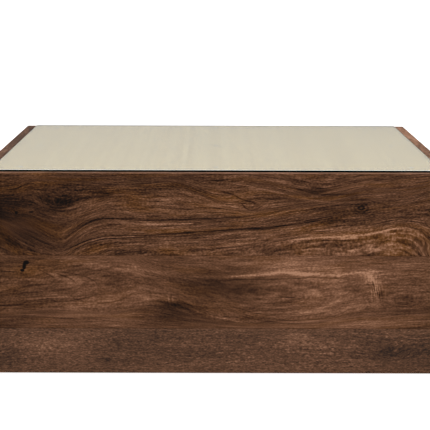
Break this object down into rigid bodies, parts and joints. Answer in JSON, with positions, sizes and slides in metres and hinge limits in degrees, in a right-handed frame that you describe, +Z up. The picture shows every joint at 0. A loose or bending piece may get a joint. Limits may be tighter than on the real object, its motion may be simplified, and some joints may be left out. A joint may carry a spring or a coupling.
{
  "type": "wicker coffee table",
  "caption": "Square box-shaped coffee table of dark mitred planks, with a woven wicker top under a loose clear glass plate.",
  "frame": {"origin": "centre of the table's footprint at floor level", "axes": "+Z up; the front of the table faces -Y and its right side faces +X"},
  "size_m": [1.016, 1.016, 0.44],
  "materials": {
    "dark_hardwood": "satin",
    "frame_softwood": "matt",
    "spline_birch": "matt",
    "plywood": "matt",
    "wicker": "woven plant fibre, matt",
    "clear_glass": "polished",
    "bumper_silicone": "clear, soft",
    "zinc_screws": "zinc plated",
    "staple_steel": "plain",
    "glide_nylon": "matt"
  },
  "bodies": {
    "carcase": {"front_upper_board": "dark_hardwood", "front_middle_board": "dark_hardwood", "front_lower_board": "dark_hardwood", "front_ledger": "frame_softwood", "right_upper_board": "dark_hardwood", "right_middle_board": "dark_hardwood", "right_lower_board": "dark_hardwood", "right_ledger": "frame_softwood", "back_upper_board": "dark_hardwood", "back_middle_board": "dark_hardwood", "back_lower_board": "dark_hardwood", "back_ledger": "frame_softwood", "left_upper_board": "dark_hardwood", "left_middle_board": "dark_hardwood", "left_lower_board": "dark_hardwood", "left_ledger": "frame_softwood", "front_right_mitre_spline": "spline_birch", "front_right_post": "frame_softwood", "front_right_glide": "glide_nylon", "back_right_mitre_spline": "spline_birch", "back_right_post": "frame_softwood", "back_right_glide": "glide_nylon", "back_left_mitre_spline": "spline_birch", "back_left_post": "frame_softwood", "back_left_glide": "glide_nylon", "front_left_mitre_spline": "spline_birch", "front_left_post": "frame_softwood", "front_left_glide": "glide_nylon", "left_rail": "frame_softwood", "right_rail": "frame_softwood", "plywood_top": "plywood", "wicker_sheet": "wicker", "post_screws": "zinc_screws", "ledger_screws": "zinc_screws", "plywood_screws": "zinc_screws", "rail_screws": "zinc_screws", "wicker_staples": "staple_steel", "glide_nails": "staple_steel"},
    "glass_plate": {"glass_top": "clear_glass", "glass_bumpers": "bumper_silicone"}
  },
  "joints": [
    {"name": "glass_lift", "type": "slide", "parent": "carcase", "child": "glass_plate", "axis": [0, 0, 1], "range_m": [0, 0.06]}
  ]
}
